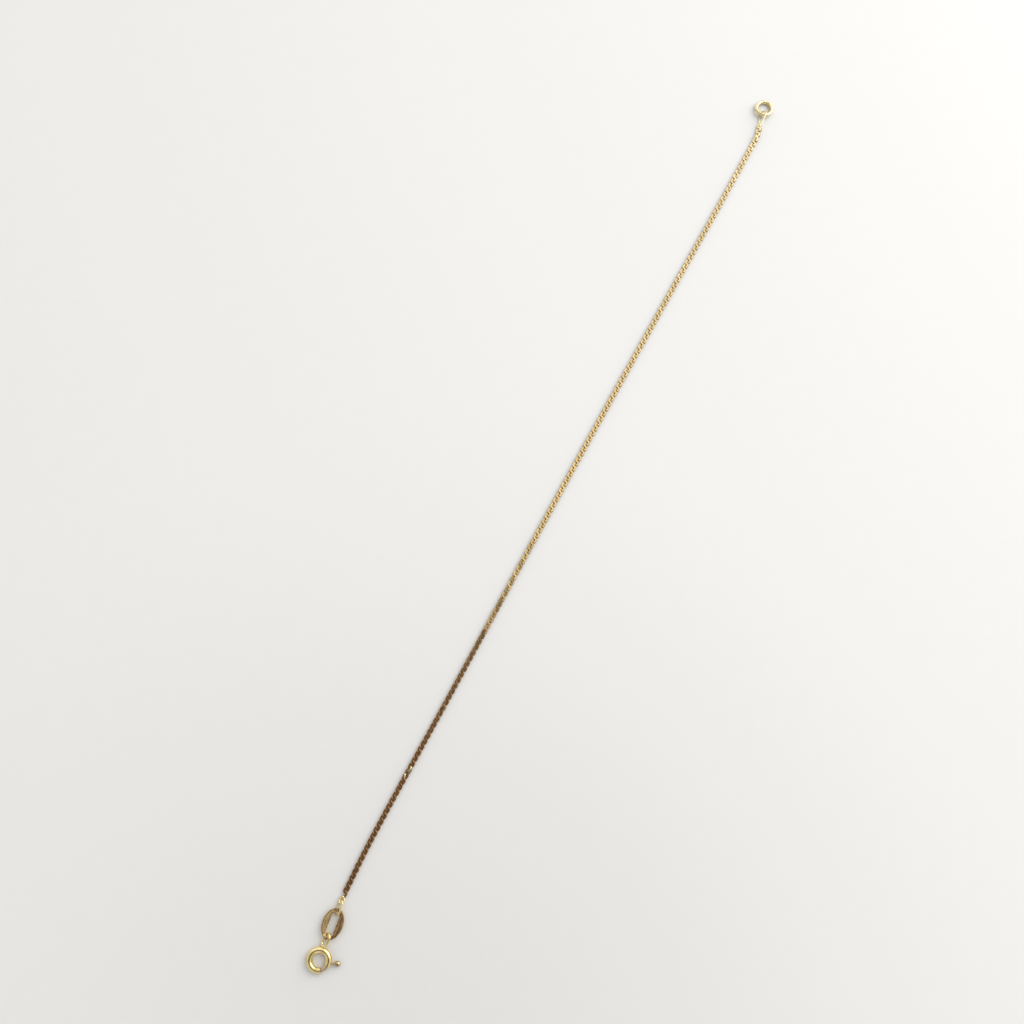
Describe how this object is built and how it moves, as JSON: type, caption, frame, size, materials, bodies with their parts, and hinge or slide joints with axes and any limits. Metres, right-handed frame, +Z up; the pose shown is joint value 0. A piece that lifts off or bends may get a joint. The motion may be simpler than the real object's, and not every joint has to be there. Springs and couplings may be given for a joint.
{
  "type": "gold chain bracelet",
  "caption": "Fine gold bracelet of flat S-shaped links with an oval slotted tag and a spring ring clasp, lying open at full length.",
  "frame": {"origin": "on the surface that the bracelet lies on, under the middle of its box", "axes": "+X along the bracelet from the spring ring clasp to the plain end ring, +Z up from the surface, +Y to the left of the way from clasp to end ring"},
  "size_m": [0.1998, 0.0066, 0.0014],
  "materials": {
    "clasp_gold": "polished",
    "bolt_gold": "satin, slightly worn",
    "tag_gold": "polished rim, satin sunk panels",
    "chain_gold": "polished",
    "ring_gold": "polished"
  },
  "bodies": {
    "bracelet": {"clasp_case": "clasp_gold", "oval_tag": "tag_gold", "end_link": "clasp_gold", "chain": "chain_gold", "end_ring": "ring_gold"},
    "bolt": {"clasp_bolt": "bolt_gold"}
  },
  "joints": [
    {"name": "clasp_trigger", "type": "hinge", "parent": "bracelet", "child": "bolt", "pos_m": [-0.09753, 0.00055, 0.00058], "axis": [0, 0, 1], "range_deg": [0, 60], "stiffness_Nm_per_rad": 0.004}
  ]
}
